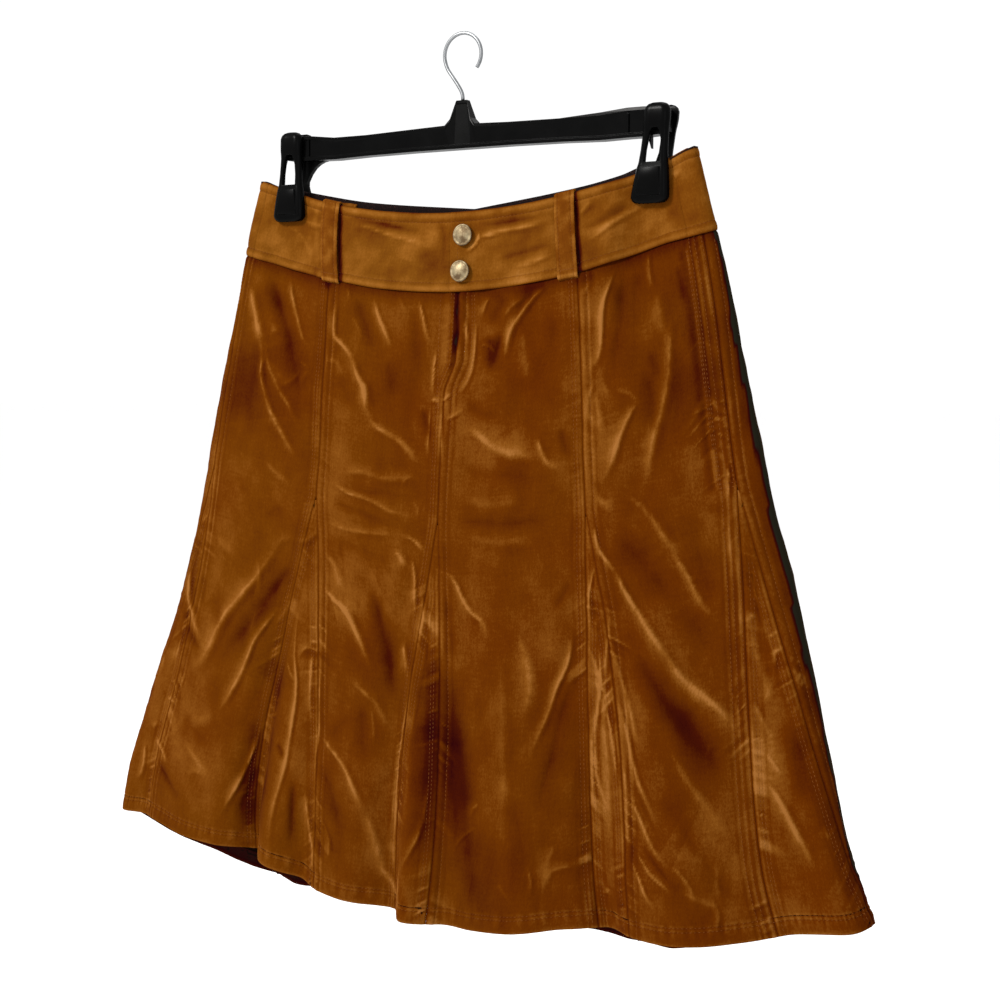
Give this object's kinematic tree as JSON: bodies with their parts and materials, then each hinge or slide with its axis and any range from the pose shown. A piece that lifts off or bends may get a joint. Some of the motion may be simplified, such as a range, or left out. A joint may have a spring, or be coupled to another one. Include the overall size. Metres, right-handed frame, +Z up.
{
  "type": "gored flared skirt on a clip hanger",
  "caption": "Knee-length gored skirt in rust velveteen with a godet in each seam, a buttoned waistband and belt loops, clipped flat on a plastic hanger with a wire hook.",
  "frame": {"origin": "the inside top of the hook, where a rail carries it", "axes": "+Z up out of the rail's contact, the skirt's front faces -Y, X runs along the hanger bar with +X to the right of someone who faces the front"},
  "size_m": [0.7123, 0.1187, 0.734],
  "materials": {
    "rust_velvet": "rust brown velveteen, crushed pile",
    "rust_velvet_godet": "rust brown velveteen, crushed pile",
    "golden_velvet_band": "the same velveteen cut across the grain, lighter and more golden",
    "dark_facing": "dark speckled brown facing",
    "antique_silver": "dull antique silver",
    "black_plastic": "black, slightly glossy",
    "hook_steel": "bright drawn wire"
  },
  "bodies": {
    "root": {"waistband_front_left": "golden_velvet_band", "waistband_front_right": "golden_velvet_band", "waistband_back": "golden_velvet_band", "waistband_facing_back": "dark_facing", "gore_front_side_left": "rust_velvet", "gore_front_centre_left": "rust_velvet", "gore_front_centre_right": "rust_velvet", "gore_front_side_right": "rust_velvet", "gore_back_side_right": "rust_velvet", "gore_back_centre_right": "rust_velvet", "gore_back_centre_left": "rust_velvet", "gore_back_side_left": "rust_velvet", "godet_side_left": "rust_velvet_godet", "godet_front_left": "rust_velvet_godet", "godet_front_centre": "rust_velvet_godet", "godet_front_right": "rust_velvet_godet", "godet_side_right": "rust_velvet_godet", "godet_back_right": "rust_velvet_godet", "godet_back_centre": "rust_velvet_godet", "godet_back_left": "rust_velvet_godet", "belt_loop_front_left": "golden_velvet_band", "belt_loop_front_right": "golden_velvet_band", "belt_loop_back_right": "golden_velvet_band", "belt_loop_back_centre": "golden_velvet_band", "belt_loop_back_left": "golden_velvet_band", "button_upper": "antique_silver", "button_lower": "antique_silver", "hanger_bar": "black_plastic", "hanger_hook": "hook_steel", "clip_left_front": "black_plastic", "clip_left_back": "black_plastic", "clip_right_front": "black_plastic", "clip_right_back": "black_plastic"}
  },
  "joints": []
}
